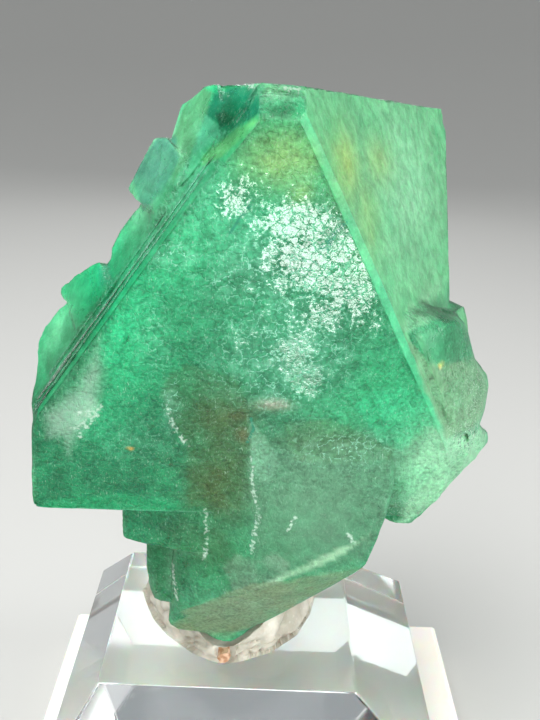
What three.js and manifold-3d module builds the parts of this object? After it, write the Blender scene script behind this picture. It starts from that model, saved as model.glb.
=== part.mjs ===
// A green fluorite octahedron held upright by putty on a clear bevelled block and a white plate.
// Millimetres, +Z up, the crystal's big etched face towards -Y.
// The origin is the middle of the base plate's underside.
import * as THREE from "three";
import { ConvexGeometry } from "three/addons/geometries/ConvexGeometry.js";
import { mergeVertices } from "three/addons/utils/BufferGeometryUtils.js";
import Module from "manifold-3d";

// The base: a bevelled block on a wider plate.
const plateSide = 63.5;
const plateThickness = 6.35;
const plateChamfer = 0.6;
const blockSide = 50.8;
const blockHeight = 19.05;
const blockFlatSide = 33.5;
const blockBevelDrop = 8.65;
const glueLine = 0.05;
const standTop = plateThickness + blockHeight;

// The specimen stands a little off the plate's middle, and so does the block.
const flatCentre = [-3.6, 3.6];
const blockOffset = [2.4, 0];

// The octahedron: its centre over the flat, and the directions of its left and right vertices.
const crystalCentre = [-1.2, 0, 74.3];
const towardsLeftVertex = [-0.677, -0.534, -0.507];
const towardsRightVertex = [0.728, -0.384, -0.567];

// Distances of the growth faces from the centre, named for where they look.
const frontFace = 23.9;
const leftFace = 24.4;
const rightFace = 25.3;
const topFace = 24.65;
const baseFace = 24.35;
const backFace = 24.6;
const lowRightFace = 22.9;
const lowLeftFace = 24;
const apexCap = 39.3; // small cube face that blunts the apex
const rightCap = 37.2; // cube cleavage that takes off the right vertex
const leftWall = 23.1; // dodecahedral wall that takes off the left vertex
const rightBevel = 29.75; // narrow dodecahedral bevel between the front and right faces
const leftBreak = 4.5; // the left back of the octahedron is broken away past this
const rightBreak = [[-0.86, 1, 0.11], 27.5]; // broken right back, seen edge-on from the front

// Clearance between the crystal and what is pressed against it.
const pressGap = 0.35;

const wasm = await Module();
wasm.setup();

// A closed geometry as a solid for joins and cuts.
function solidOf(geometry) {
  const bare = geometry.clone();
  bare.deleteAttribute("normal");
  bare.deleteAttribute("uv");
  const merged = mergeVertices(bare, 1e-4);
  return new wasm.Manifold(
    new wasm.Mesh({
      numProp: 3,
      vertProperties: new Float32Array(merged.getAttribute("position").array),
      triVerts: new Uint32Array(merged.index.array),
    }),
  );
}

// The way back: a solid as a geometry with flat shading.
function geometryOf(solid) {
  const mesh = solid.getMesh();
  const geometry = new THREE.BufferGeometry();
  geometry.setAttribute("position", new THREE.BufferAttribute(new Float32Array(mesh.vertProperties), 3));
  geometry.setIndex(new THREE.BufferAttribute(new Uint32Array(mesh.triVerts), 1));
  const faceted = geometry.toNonIndexed();
  faceted.computeVertexNormals();
  return faceted;
}

function joined(solids) {
  return solids.reduce((whole, solid) => whole.add(solid));
}

// The convex solid inside a list of planes, each a direction and a distance from the origin.
function solidInside(planes) {
  const units = planes.map(([direction, distance]) => {
    const normal = new THREE.Vector3(...direction).normalize();
    return { normal, distance };
  });
  const corners = [];
  for (let i = 0; i < units.length; i += 1) {
    for (let j = i + 1; j < units.length; j += 1) {
      for (let k = j + 1; k < units.length; k += 1) {
        const corner = meetingPoint(units[i], units[j], units[k]);
        if (corner && units.every((unit) => unit.normal.dot(corner) < unit.distance + 1e-6)) {
          corners.push(corner);
        }
      }
    }
  }
  return solidOf(new ConvexGeometry(corners));
}

function meetingPoint(a, b, c) {
  const bCrossC = new THREE.Vector3().crossVectors(b.normal, c.normal);
  const volume = a.normal.dot(bCrossC);
  if (Math.abs(volume) < 1e-6) {
    return null;
  }
  const cCrossA = new THREE.Vector3().crossVectors(c.normal, a.normal);
  const aCrossB = new THREE.Vector3().crossVectors(a.normal, b.normal);
  return bCrossC
    .multiplyScalar(a.distance)
    .addScaledVector(cCrossA, b.distance)
    .addScaledVector(aCrossB, c.distance)
    .divideScalar(volume);
}

// A convex lump through hand-picked corners.
function lump(corners) {
  return solidOf(new ConvexGeometry(corners.map((corner) => new THREE.Vector3(...corner))));
}

// The eight face directions in the crystal's own axes: x to the left vertex, y to the right one
// and z to the apex.
const faceDirections = {
  front: [1, 1, 1],
  left: [1, -1, 1],
  right: [-1, 1, 1],
  top: [-1, -1, 1],
  base: [1, 1, -1],
  lowRight: [-1, 1, -1],
  lowLeft: [1, -1, -1],
  back: [-1, -1, -1],
};
const wholeFaces = {
  front: frontFace,
  left: leftFace,
  right: rightFace,
  top: topFace,
  base: baseFace,
  lowRight: lowRightFace,
  lowLeft: lowLeftFace,
  back: backFace,
};

// A growth is an octahedron parallel to the main one, with some faces at other distances
// and some extra planes that cut it.
function growth(faces, cuts = []) {
  const distances = { ...wholeFaces, ...faces };
  const planes = Object.keys(faceDirections).map((name) => [faceDirections[name], distances[name]]);
  return solidInside([...planes, ...cuts]);
}

const leftVertexAxis = new THREE.Vector3(...towardsLeftVertex).normalize();
const apexAxis = new THREE.Vector3(...towardsRightVertex).cross(leftVertexAxis).negate().normalize();
const rightVertexAxis = new THREE.Vector3().crossVectors(apexAxis, leftVertexAxis);
const crystalPlace = new THREE.Matrix4()
  .makeBasis(leftVertexAxis, rightVertexAxis, apexAxis)
  .setPosition(...crystalCentre);

// The front octahedron carries the big etched face, its blunt apex and the narrow bevel.
function frontOctahedron() {
  return growth({ top: 23.7, left: 23.8 }, [
    [[0, 0, 1], apexCap],
    [[0, 1, 0], rightCap],
    [[0, 1, 1], rightBevel],
    [[1, -1, 0], leftWall],
    [[0, -1, 0], leftBreak],
    rightBreak,
  ]);
}

// A parallel octahedron just behind it stands slightly higher at the top edge.
const rearFrontFace = 21.4;

function rearOctahedron() {
  return growth({ front: rearFrontFace, left: 23.9 }, [
    [[0, 1, 0], rightCap],
    [[1, -1, 0], leftWall],
    [[0, -1, 0], leftBreak],
    rightBreak,
  ]);
}

// The border of the left face: ledges whose outlines run down the apex-to-left-vertex edge.
// Along is measured down that edge from its middle, out is the distance from the front face's edge.
const leftLedges = [
  {
    level: 24.4,
    front: frontFace,
    outline: [[-21, -1], [-20, 3.5], [-18, 3.6], [-6, 3.2], [8, 3], [20, 1.2], [24, -1]],
  },
  {
    level: 24.2,
    front: rearFrontFace,
    outline: [[-31, -1], [-24.8, 8.8], [-21.5, 8], [-15, 5], [-12, -1]],
  },
  {
    level: 24.5,
    front: rearFrontFace,
    outline: [[-25.2, 8.2], [-23, 10.6], [-20.3, 12], [-17.1, 9.9], [-12, 6], [-8, 2], [-22, 2]],
  },
  {
    level: 24.9,
    front: frontFace,
    outline: [[-17, 10.2], [-15.8, 11.9], [-12, 11.6], [-9.5, 10.7], [-10.1, 7.4], [-12, 2], [-18, 4]],
  },
  {
    level: 24,
    front: frontFace,
    outline: [[-12, 7.6], [-8.6, 8.6], [-5.8, 8.7], [-3.6, 8.2], [-2.1, 7], [2, 1], [-14, 1]],
  },
  {
    level: 24.7,
    front: frontFace,
    outline: [[-2.4, 7.4], [1.5, 9.6], [4.8, 11], [5.2, 9.8], [4.7, 8.1], [5, 2], [-2, 2]],
  },
  {
    level: 24.2,
    front: frontFace,
    outline: [[3, 7.6], [6.6, 9.3], [9, 9.6], [11.4, 8.6], [13, 6.5], [15.6, 3.1], [17, -1], [0, -1]],
  },
];
const leftLedgeDepth = 21;
const edgeToFrontFace = 16.9; // from the line through the face's middle to the front face's edge

function leftLedge({ level, front, outline }) {
  const shape = new THREE.Shape(outline.map(([along, out]) => new THREE.Vector2(along, out)));
  const slab = new THREE.ExtrudeGeometry(shape, { depth: leftLedgeDepth, bevelEnabled: false });
  const along = new THREE.Vector3(1, 0, -1).normalize();
  const out = new THREE.Vector3(-1, -2, -1).normalize();
  const normal = new THREE.Vector3().crossVectors(along, out);
  const start = new THREE.Vector3(1, -1, 1)
    .normalize()
    .multiplyScalar(level)
    .addScaledVector(out, -edgeToFrontFace);
  const sink = normal.dot(new THREE.Vector3(1, -1, 1)) > 0 ? -leftLedgeDepth : 0;
  slab.applyMatrix4(new THREE.Matrix4().makeBasis(along, out, normal).setPosition(start));
  slab.translate(...normal.clone().multiplyScalar(sink).toArray());
  return solidOf(slab).intersect(growth({ left: level, front, lowLeft: 40 }, [[[1, -1, 0], leftWall]]));
}

// Fine striations beside the front face's left edge: shallow grooves along it.
const striations = [
  { out: 1.1, depth: 0.55, width: 0.5, from: -20, to: 18 },
  { out: 1.9, depth: 0.8, width: 0.6, from: -22, to: 15 },
  { out: 2.8, depth: 0.5, width: 0.45, from: -14, to: 12 },
];

function striation({ out: outwards, depth, width, from, to }) {
  const along = new THREE.Vector3(1, 0, -1).normalize();
  const out = new THREE.Vector3(-1, -2, -1).normalize();
  const normal = new THREE.Vector3(1, -1, 1).normalize();
  const corner = (a, o, h) =>
    new THREE.Vector3()
      .addScaledVector(along, a)
      .addScaledVector(out, o - edgeToFrontFace)
      .addScaledVector(normal, leftFace + h)
      .toArray();
  const ends = [from, to];
  return lump(
    ends.flatMap((a) => [
      corner(a, outwards - width, 1),
      corner(a, outwards + width, 1),
      corner(a, outwards + width / 3, -depth),
    ]),
  );
}

// Lower on the right a later growth thickens the right face, with a ledge at its top.
const apronReach = 7;

function rightApron() {
  return growth({ front: 22.9, right: 26.2, lowRight: 23.4, top: 0, back: 5, base: 26.2 }, [
    [[0, 1, 0], rightCap],
    [[1, 0, 0], apronReach],
  ]);
}

// Under that ledge the right border swells into a soft glassy block, with a crumbly crust and
// two knobs of it below. Corners are over the flat, height from the table.
const glassyBlock = [
  [18.1, -21.4, 77.3], [21.2, -17.6, 77.1], [24.3, -14, 76.5], [25.6, -12.8, 75.9], [26.8, -12.6, 74.5],
  [27.3, -12.4, 72.5], [28.2, -12.2, 70.7], [28.3, -12.6, 68.1], [24.5, -17.2, 68.8], [20.9, -21, 70.2],
  [22.5, -18.8, 75.8], [23.7, -18.4, 71.6], [19.3, -21.5, 74.8], [26, -5, 74], [28.6, -5, 71.3],
  [29.9, -5, 67.3], [15, -12, 76], [17, -12, 70],
];
const crust = [
  [26.9, -14, 71], [29.6, -12, 69.3], [30.2, -12, 68.3], [30.7, -12, 67.5], [30.3, -13, 65.5],
  [29.6, -14, 62.8], [28.5, -15.6, 62.5], [25.7, -18.9, 62.5], [24.1, -19.9, 66.4], [24.3, -18.2, 69.6],
  [27.4, -16.2, 67.8], [31.3, -5, 66.6], [32.2, -5, 64], [31.2, -6, 58.9], [18, -10, 66], [18, -10, 60],
];
const crustKnob = [
  [28.7, -14.8, 62.7], [30.3, -13.2, 62], [30.8, -13, 60.6], [30.8, -13.2, 59.1], [29.7, -14, 58.5],
  [27.2, -17.2, 60.6], [27.1, -17.4, 62.8], [32.4, -6, 57.4], [31.2, -6, 55.7],
];
const crustFlake = [
  [24.5, -18.6, 68.4], [26.4, -17, 68.4], [27.1, -16.6, 66.5], [25.8, -18.2, 65.9], [24.1, -19.4, 67],
  [27.4, -10, 64.3],
];

// The lower chunk hangs under the octahedron: a ledge, a clear column at its left and the
// front mass, which ends in an oblique facet. Corners are over the flat, height from the table.
const underLedge = [
  [-13.4, -17.2, 53], [-13.6, -16.2, 46.3], [-10.6, -16.2, 45.4], [-5, -17.2, 45.1], [3, -19, 46.4],
  [3, -19.6, 53], [-11, 9, 50.4], [-9, 8, 44.6], [11, 11, 50.4], [10, 9, 44],
];
const clearColumn = [
  [-11.3, -13.2, 47], [-11, -13.2, 39], [-10.4, -12.6, 35.1], [-8.6, -13.2, 36.2], [-4, -15.4, 36.6],
  [-4, -16, 47], [-9.5, -2, 47], [-9.2, -2, 35], [-2, 2, 47], [-2, 1, 34],
];
const frontMass = [
  [2, -20.6, 58.6], [6, -20.6, 60], [18.2, -19.8, 61.2], [19.3, -19.4, 55.3], [18.2, -19.8, 51.6],
  [16.2, -20, 45.7], [9.1, -20.4, 44], [2.7, -19.4, 42.5], [-1.7, -17.2, 38.5], [-6.6, -15, 35.4],
  [-8.3, -12.5, 31.2], [-0.4, -10.4, 28], [3.6, -10, 30.2], [9.4, -11.2, 35], [14.4, -15, 41],
  [-7, -16.6, 48], [-5, 5, 31.5], [7, 6, 33], [12, 3, 42], [15, 2, 52], [-8, 6, 50], [4, -12, 60],
];
const lowFlake = [
  [-3.4, -11.6, 30.6], [-2.6, -11.6, 28.6], [-0.9, -11.8, 27.9], [0.6, -11.4, 28.4], [3.6, -10.8, 30.6],
  [-2, -6, 29], [2.4, -6, 30],
];

function lowerChunk() {
  return joined([underLedge, clearColumn, frontMass, lowFlake].map(lump));
}

function fluorite() {
  const crystal = joined([frontOctahedron(), rearOctahedron(), ...leftLedges.map(leftLedge), rightApron()]);
  const struck = striations.map(striation).reduce((whole, groove) => whole.subtract(groove), crystal);
  const placed = solidOf(geometryOf(struck).applyMatrix4(crystalPlace));
  const rightBorder = [glassyBlock, crust, crustKnob, crustFlake].map(lump);
  return joined([placed, ...rightBorder, lowerChunk()]);
}

// The putty: rings of a wad lofted up from its footprint on the flat, then pressed by the crystal.
const puttyFootprint = [
  [-14.2, 5.9], [-12.8, 1.2], [-11.4, -2.4], [-9.2, -5.9], [-5.2, -10.1], [-2.4, -11.8], [-0.5, -12.4],
  [2.1, -11.4], [5.7, -9.4], [9.5, -5], [11.7, 0.9], [12.6, 5.8], [10.6, 10.8], [4, 13.6], [-4, 13.8],
  [-10.6, 11.4],
];
const puttyMiddle = [-2.4, 3.4];
const puttyRings = [
  { height: 0, spread: 0.97 },
  { height: 1.2, spread: 1 },
  { height: 3, spread: 0.96 },
  { height: 6, spread: 0.9 },
  { height: 9.4, spread: 0.78 },
  { height: 11.6, spread: 0.58 },
];

function puttyWad() {
  const count = puttyFootprint.length;
  const positions = [];
  const indices = [];
  for (const { height, spread } of puttyRings) {
    for (const [x, y] of puttyFootprint) {
      positions.push(
        puttyMiddle[0] + (x - puttyMiddle[0]) * spread,
        puttyMiddle[1] + (y - puttyMiddle[1]) * spread,
        standTop + glueLine + height,
      );
    }
  }
  for (let ring = 0; ring < puttyRings.length - 1; ring += 1) {
    for (let i = 0; i < count; i += 1) {
      const next = (i + 1) % count;
      const low = ring * count;
      const high = low + count;
      indices.push(low + i, low + next, high + i, low + next, high + next, high + i);
    }
  }
  const topRing = (puttyRings.length - 1) * count;
  const bottomHub = positions.length / 3;
  positions.push(...puttyMiddle, standTop + glueLine);
  positions.push(...puttyMiddle, standTop + glueLine + puttyRings.at(-1).height + 0.8);
  for (let i = 0; i < count; i += 1) {
    const next = (i + 1) % count;
    indices.push(next, i, bottomHub);
    indices.push(topRing + i, topRing + next, bottomHub + 1);
  }
  const wad = new THREE.BufferGeometry();
  wad.setAttribute("position", new THREE.Float32BufferAttribute(positions, 3));
  wad.setIndex(indices);
  return solidOf(wad);
}

// A convex lump grown about its middle, so that cutting with it leaves a clearance all round.
function swollenLump(corners, extra) {
  const middle = new THREE.Vector3();
  corners.forEach((corner) => middle.add(new THREE.Vector3(...corner)));
  middle.divideScalar(corners.length);
  return lump(
    corners.map((corner) => {
      const away = new THREE.Vector3(...corner).sub(middle);
      return away.setLength(away.length() + extra).add(middle).toArray();
    }),
  );
}

// The rust-brown chip in the putty's front.
const chipCentre = [-0.7, -12, 27.1];
const chipHalf = [1.05, 0.8, 1.1];
const chipCorners = [
  [-1, -0.6, -0.4], [-0.5, -1, 0.5], [0.4, -1, 0.7], [1, -0.5, 0.1], [0.6, -0.8, -0.7], [-0.4, -0.9, -0.9],
  [-0.8, 0.8, 0.6], [0.7, 0.9, 0.8], [0.9, 0.8, -0.6], [-0.7, 0.7, -0.8],
].map((corner) => corner.map((part, i) => chipCentre[i] + part * chipHalf[i]));

function putty() {
  const crystalLumps = [underLedge, clearColumn, frontMass, lowFlake];
  const presses = crystalLumps.map((corners) => swollenLump(corners, 2 * pressGap));
  presses.push(swollenLump(chipCorners, pressGap));
  return presses.reduce((wad, press) => wad.subtract(press), puttyWad());
}

// The corners of a level square.
function square(side, [x, y], z) {
  const quarters = [[-1, -1], [1, -1], [1, 1], [-1, 1]];
  return quarters.map(([i, j]) => [x + (i * side) / 2, y + (j * side) / 2, z]);
}

// The block: a box whose top edges are cut back to a smaller flat by wide bevels.
function bevelledBlock() {
  const bevelFoot = standTop - blockBevelDrop;
  return lump([
    ...square(blockFlatSide, [0, 0], standTop),
    ...square(blockSide, blockOffset, bevelFoot),
    ...square(blockSide, blockOffset, plateThickness + glueLine),
  ]);
}

// The plate: a flat square with fine chamfers on its upper edges.
function basePlate() {
  const middle = [-flatCentre[0], -flatCentre[1]];
  return lump([
    ...square(plateSide, middle, 0),
    ...square(plateSide, middle, plateThickness - plateChamfer),
    ...square(plateSide - 2 * plateChamfer, middle, plateThickness),
  ]);
}

const finishes = {
  fluorite: new THREE.MeshStandardMaterial({ color: 0x2fae74, roughness: 0.35, metalness: 0 }),
  putty: new THREE.MeshStandardMaterial({ color: 0xd9d5c6, roughness: 0.85, metalness: 0 }),
  chip: new THREE.MeshStandardMaterial({ color: 0xb9764a, roughness: 0.5, metalness: 0 }),
  clearAcrylic: new THREE.MeshStandardMaterial({ color: 0xcfd4d4, roughness: 0.08, metalness: 0 }),
  whiteAcrylic: new THREE.MeshStandardMaterial({ color: 0xeceeec, roughness: 0.1, metalness: 0 }),
};

function named(name, solid, finish) {
  const mesh = new THREE.Mesh(geometryOf(solid), finish);
  mesh.name = name;
  return mesh;
}

const specimen = new THREE.Group();
specimen.add(named("fluorite_octahedron", fluorite(), finishes.fluorite));
specimen.add(named("putty", putty(), finishes.putty));
specimen.add(named("rust_chip", lump(chipCorners), finishes.chip));
specimen.add(named("acrylic_block", bevelledBlock(), finishes.clearAcrylic));
specimen.add(named("acrylic_plate", basePlate(), finishes.whiteAcrylic));
specimen.position.set(flatCentre[0], flatCentre[1], 0);

const standingCrystal = new THREE.Group();
standingCrystal.add(specimen);

export default standingCrystal;
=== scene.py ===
import bmesh
import bpy
import numpy as np
from mathutils import Matrix, Vector


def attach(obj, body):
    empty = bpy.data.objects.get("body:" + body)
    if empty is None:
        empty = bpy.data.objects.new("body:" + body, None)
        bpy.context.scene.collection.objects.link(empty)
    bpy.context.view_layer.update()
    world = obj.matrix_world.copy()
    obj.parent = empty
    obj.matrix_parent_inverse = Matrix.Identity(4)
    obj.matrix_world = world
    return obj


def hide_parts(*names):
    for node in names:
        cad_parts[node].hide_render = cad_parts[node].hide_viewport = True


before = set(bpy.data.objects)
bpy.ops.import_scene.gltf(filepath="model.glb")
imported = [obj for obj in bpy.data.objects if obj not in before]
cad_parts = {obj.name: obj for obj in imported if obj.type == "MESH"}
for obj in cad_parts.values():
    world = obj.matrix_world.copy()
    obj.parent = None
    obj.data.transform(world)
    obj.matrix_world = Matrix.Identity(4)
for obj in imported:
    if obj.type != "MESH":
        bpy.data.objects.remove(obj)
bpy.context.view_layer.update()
mm = 0.001
print("frame loaded")


# camera
# The photograph's camera, found from the block's edges and the crystal's parallel faces.
cameraView = {
    "placeMm": (-0.54, -121.51, 107.35),
    "pitchDown": 18.88,  # degrees
    "yawRight": 0.38,
    "roll": -2.34,
    "focalPixels": 1000.0,
    "photoHeight": 720.0,
    "sensorMm": 36.0,
    "nearestMm": 10.0,
}


def setCamera(view):
    # It looks along (sin yaw cos pitch, cos yaw cos pitch, -sin pitch) and is rolled about that line.
    # The lens is the focal length in pixels / the picture's height x the sensor.
    pitch, yaw, roll = np.radians([view["pitchDown"], view["yawRight"], view["roll"]])
    forward = np.array([np.sin(yaw) * np.cos(pitch), np.cos(yaw) * np.cos(pitch), -np.sin(pitch)])
    level = np.array([np.cos(yaw), -np.sin(yaw), 0.0])
    down = np.cross(forward, level)
    right = level * np.cos(roll) + down * np.sin(roll)
    up = level * np.sin(roll) - down * np.cos(roll)
    camera = bpy.data.objects.new("camera", bpy.data.cameras.new("camera"))
    bpy.context.scene.collection.objects.link(camera)
    turn = Matrix(np.column_stack([right, up, -forward]).tolist()).to_4x4()
    camera.matrix_world = Matrix.Translation(Vector(view["placeMm"]) * mm) @ turn
    camera.data.sensor_width = view["sensorMm"]
    camera.data.lens = view["focalPixels"] / view["photoHeight"] * view["sensorMm"]
    camera.data.clip_start = view["nearestMm"] * mm
    bpy.context.scene.camera = camera


setCamera(cameraView)
print("camera placed")


# materials
def linearColour(hexCode):  # sRGB to linear: c / 12.92 near black, else ((c + 0.055) / 1.055) ^ 2.4
    parts = [int(hexCode[i : i + 2], 16) / 255 for i in (1, 3, 5)]
    return [c / 12.92 if c <= 0.04045 else ((c + 0.055) / 1.055) ** 2.4 for c in parts] + [1.0]


def addNode(tree, kind, settings, inputs, output=0):
    # One node: its settings, then a value or a link for each input, by name or in order. Gives back
    # the output asked for.
    node = tree.nodes.new("ShaderNode" + kind)
    for key, value in settings.items():
        setattr(node, key, value)
    for key, value in inputs.items() if isinstance(inputs, dict) else enumerate(inputs):
        if isinstance(value, bpy.types.NodeSocket):
            tree.links.new(value, node.inputs[key])
        else:
            node.inputs[key].default_value = value
    return node.outputs[output] if node.outputs else None


# Settings that many nodes share. A map range reads its value, from low, high, and to low, high.
smooth = {"interpolation_type": "SMOOTHSTEP"}
colours = {"data_type": "RGBA"}
plus = {"operation": "ADD"}
minus = {"operation": "SUBTRACT"}
times = {"operation": "MULTIPLY"}
timesPlus = {"operation": "MULTIPLY_ADD"}
larger = {"operation": "MAXIMUM"}
scaled = {"operation": "SCALE"}


def newMaterial(name):  # an empty material, its node tree, and the object's own coordinates in mm
    material = bpy.data.materials.new(name)
    material.use_nodes = True
    tree = material.node_tree
    tree.nodes.clear()
    place = addNode(tree, "TexCoord", {}, {}, "Object")
    return material, tree, addNode(tree, "VectorMath", scaled, {0: place, "Scale": 1000.0})


# meshes in numpy
def mergedArrays(nodeName):
    # A CAD node's corners in mm and its triangles, with shared corners merged and flat faces
    # dissolved and cut into triangles again.
    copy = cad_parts[nodeName].data.copy()
    work = bmesh.new()
    work.from_mesh(copy)
    bmesh.ops.remove_doubles(work, verts=work.verts, dist=2e-6)
    bmesh.ops.dissolve_limit(work, angle_limit=0.003, verts=work.verts, edges=work.edges)
    bmesh.ops.triangulate(work, faces=work.faces, quad_method="BEAUTY", ngon_method="BEAUTY")
    work.to_mesh(copy)
    work.free()
    points = np.empty(len(copy.vertices) * 3, np.float32)
    copy.vertices.foreach_get("co", points)
    corners = np.empty(len(copy.loops), np.int32)
    copy.loops.foreach_get("vertex_index", corners)
    bpy.data.meshes.remove(copy)
    return points.reshape(-1, 3).astype(float) / mm, corners.reshape(-1, 3).astype(int)


def edgeList(faces):  # every edge once, and which edge each side of each triangle is
    sides = np.sort(faces[:, [[0, 1], [1, 2], [2, 0]]], axis=2).reshape(-1, 2)
    keys = sides[:, 0] * (faces.max() + 1) + sides[:, 1]
    _, index, which = np.unique(keys, return_index=True, return_inverse=True)
    return sides[index], which.reshape(-1, 3)


def refined(points, faces, longest):
    # Splits every edge longer than longest(middle) at its middle until none is left. A triangle
    # with one, two or three split sides becomes two, three or four.
    while True:
        edges, which = edgeList(faces)
        middles = points[edges].mean(axis=1)
        tooLong = np.linalg.norm(points[edges[:, 0]] - points[edges[:, 1]], axis=1) > longest(middles)
        if not tooLong.any():
            return points, faces
        newIndex = np.full(len(edges), -1)
        newIndex[tooLong] = len(points) + np.arange(tooLong.sum())
        points = np.vstack([points, middles[tooLong]])
        split = newIndex[which]
        count = (split >= 0).sum(axis=1)
        # turn each triangle so that a lone split side comes first, or a lone whole side last
        turn = np.where(count == 1, (split >= 0).argmax(axis=1), 0)
        turn = np.where(count == 2, ((split < 0).argmax(axis=1) + 1) % 3, turn)
        order = (turn[:, None] + np.arange(3)) % 3
        a, b, c = np.take_along_axis(faces, order, axis=1).T
        ab, bc, ca = np.take_along_axis(split, order, axis=1).T
        none, one, two, three = [count == splits for splits in range(4)]
        parts = [
            (none, a, b, c),
            (one, a, ab, c),
            (one, ab, b, c),
            (two, ab, b, bc),
            (two, a, ab, bc),
            (two, a, bc, c),
            (three, a, ab, ca),
            (three, ab, b, bc),
            (three, ca, bc, c),
            (three, ab, bc, ca),
        ]
        faces = np.vstack([np.column_stack(corners)[chosen] for chosen, *corners in parts])


def faceNormals(points, faces):  # twice the area times the unit normal
    a, b, c = points[faces].transpose(1, 0, 2)
    return np.cross(b - a, c - a)


def gathered(faces, values, count):  # sums of a per-face value over the corners that share it
    columns = np.atleast_2d(values.T)
    sums = [np.bincount(faces.ravel(), np.repeat(column, 3), count) for column in columns]
    return np.array(sums).T.squeeze()


def vertexNormals(points, faces):  # the sum of the face normals around a corner, made unit long
    total = gathered(faces, faceNormals(points, faces), len(points))
    return total / np.maximum(np.linalg.norm(total, axis=1, keepdims=True), 1e-12)


def smoothed(values, edges, rounds):
    # In each round a corner's value moves half-way to the mean of its neighbours' values.
    count = len(values)
    degree = np.bincount(edges.ravel(), minlength=count)
    shape = values.reshape(count, -1).copy()
    for _ in range(rounds):
        for column in range(shape.shape[1]):
            heard = np.bincount(edges[:, 0], shape[edges[:, 1], column], count)
            heard += np.bincount(edges[:, 1], shape[edges[:, 0], column], count)
            shape[:, column] = 0.5 * shape[:, column] + 0.5 * heard / degree
    return shape.reshape(values.shape)


def hashed(cells, seed):
    # A fixed random number from 0 to 1 for each whole-numbered cell: the fraction left of
    # 43758.5453 sin(a), where a adds up the cell's numbers, each times its own weight.
    mixed = np.sin(cells @ np.array([127.1, 311.7, 74.7]) + seed * 19.19) * 43758.5453
    return mixed - np.floor(mixed)


def noise(points, size, seed):
    # Heights from -1 to 1 at the corners of cubes of the given size in mm, and between them the
    # mean of the eight corners, each weighted by t^2 (3 - 2 t) along each axis.
    place = points / size
    base = np.floor(place)
    inside = place - base
    inside = inside * inside * (3 - 2 * inside)
    total = np.zeros(len(points))
    for corner in np.ndindex(2, 2, 2):
        weight = np.prod(np.where(corner, inside, 1 - inside), axis=1)
        total += weight * hashed(base + corner, seed)
    return 2 * total - 1


def layered(points, size, seed, layers=3):
    # The sum of noise / 2^i at size / 2^i, divided by the sum of 1 / 2^i.
    heights = [noise(points, size / 2**i, seed + i) / 2**i for i in range(layers)]
    return sum(heights) / (2 - 2 ** (1 - layers))


def cells(points, size, seed):
    # For each point its nearest scattered seed, as an offset in mm, that seed's cell, and how much
    # farther the second nearest is.
    place = points / size
    base = np.floor(place)
    nearest = np.full(len(points), 9.0)
    second = nearest.copy()
    offset = np.zeros_like(points)
    home = np.zeros_like(points)
    for corner in np.ndindex(3, 3, 3):
        cell = base + np.array(corner) - 1
        seedPoint = cell + np.column_stack([hashed(cell, seed + k) for k in range(3)])
        away = place - seedPoint
        distance = np.linalg.norm(away, axis=1)
        closer = distance < nearest
        second = np.where(closer, nearest, np.minimum(second, distance))
        nearest = np.where(closer, distance, nearest)
        offset[closer] = away[closer] * size
        home[closer] = cell[closer]
    return offset, home, (second - nearest) * size


def step(value, low, high):  # t^2 (3 - 2 t), where t runs from 0 at low to 1 at high
    t = np.clip((value - low) / (high - low), 0, 1)
    return t * t * (3 - 2 * t)


def lineDistance(points, line):
    # Distance in mm from each point, seen from the front, to the nearest stretch of a line through
    # (x, z) points.
    flat = points[:, [0, 2]]
    line = np.array(line, float)
    nearest = np.full(len(flat), 99.0)
    for start, end in zip(line[:-1], line[1:]):
        along = end - start
        t = np.clip((flat - start) @ along / max(along @ along, 1e-9), 0, 1)
        nearest = np.minimum(nearest, np.linalg.norm(flat - start - t[:, None] * along, axis=1))
    return nearest


def makePiece(name, points, faces, material, sharpDegrees, extras=None):
    # Corners in mm and triangles made into an object that rides the body, with its named values.
    mesh = bpy.data.meshes.new(name)
    mesh.from_pydata((points * mm).tolist(), [], faces.tolist())
    for key, values in (extras or {}).items():
        layer = mesh.attributes.new(key, "FLOAT", "POINT")
        layer.data.foreach_set("value", values.astype(np.float32))
    mesh.materials.append(material)
    mesh.shade_smooth()
    mesh.set_sharp_from_angle(angle=np.radians(sharpDegrees))
    piece = bpy.data.objects.new(name, mesh)
    bpy.context.scene.collection.objects.link(piece)
    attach(piece, "root")
    print(name, "has", len(faces), "triangles")
    return piece


# the fluorite crystal
# Directions of the faces that are seen, as the solid has them.
crystalFaces = {
    "front": (0.093, -0.965, -0.246),
    "left": (-0.749, -0.522, 0.41),
    "right": (0.874, -0.348, 0.34),
    "bevel": (0.592, -0.804, 0.058),
    "under": (0.03, -0.84, -0.54),
}

# Where growth has healed over a step or an edge, so that it shows only softly: lines seen from the
# front, as (x, z), and the half-width in mm.
healedLines = [
    ([(-4.7, 97.6), (-26, 65.6), (-29, 60)], 3.6),
    ([(-2.8, 58), (-1.9, 59.2), (4, 60), (9.7, 60.7), (14.5, 61.2)], 3.2),
    ([(14.9, 60.8), (15.3, 57), (16, 54), (15.4, 51)], 2.4),
    ([(-4.1, 51.9), (-1.9, 59.2), (1.4, 53.1), (5.4, 44.6)], 2.4),
    ([(15.6, 75.6), (18, 70), (20.4, 64), (22.4, 57)], 4.5),
    ([(14.9, 75.9), (18.5, 77.6), (22.5, 78.4)], 3),
]

# Ellipsoids that shape the crystal: its lumps, which are softened, where it crumbles, and where it is
# too thin to carve. Each has its middle and radii in mm and its strength.
softLumps = [
    ((26, -10, 67), (6, 10, 6), 1.6),
    ((-21, -17, 84), (12, 8, 16), 0.3),
]
crumblyPlaces = [
    ((25, -10, 61), (6, 9, 7), 1.0),
    ((20, 4, 88), (2.5, 14, 14), 0.6),
]
thinPlaces = [((27, -10, 60), (5, 9, 5), 1.6)]

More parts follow.
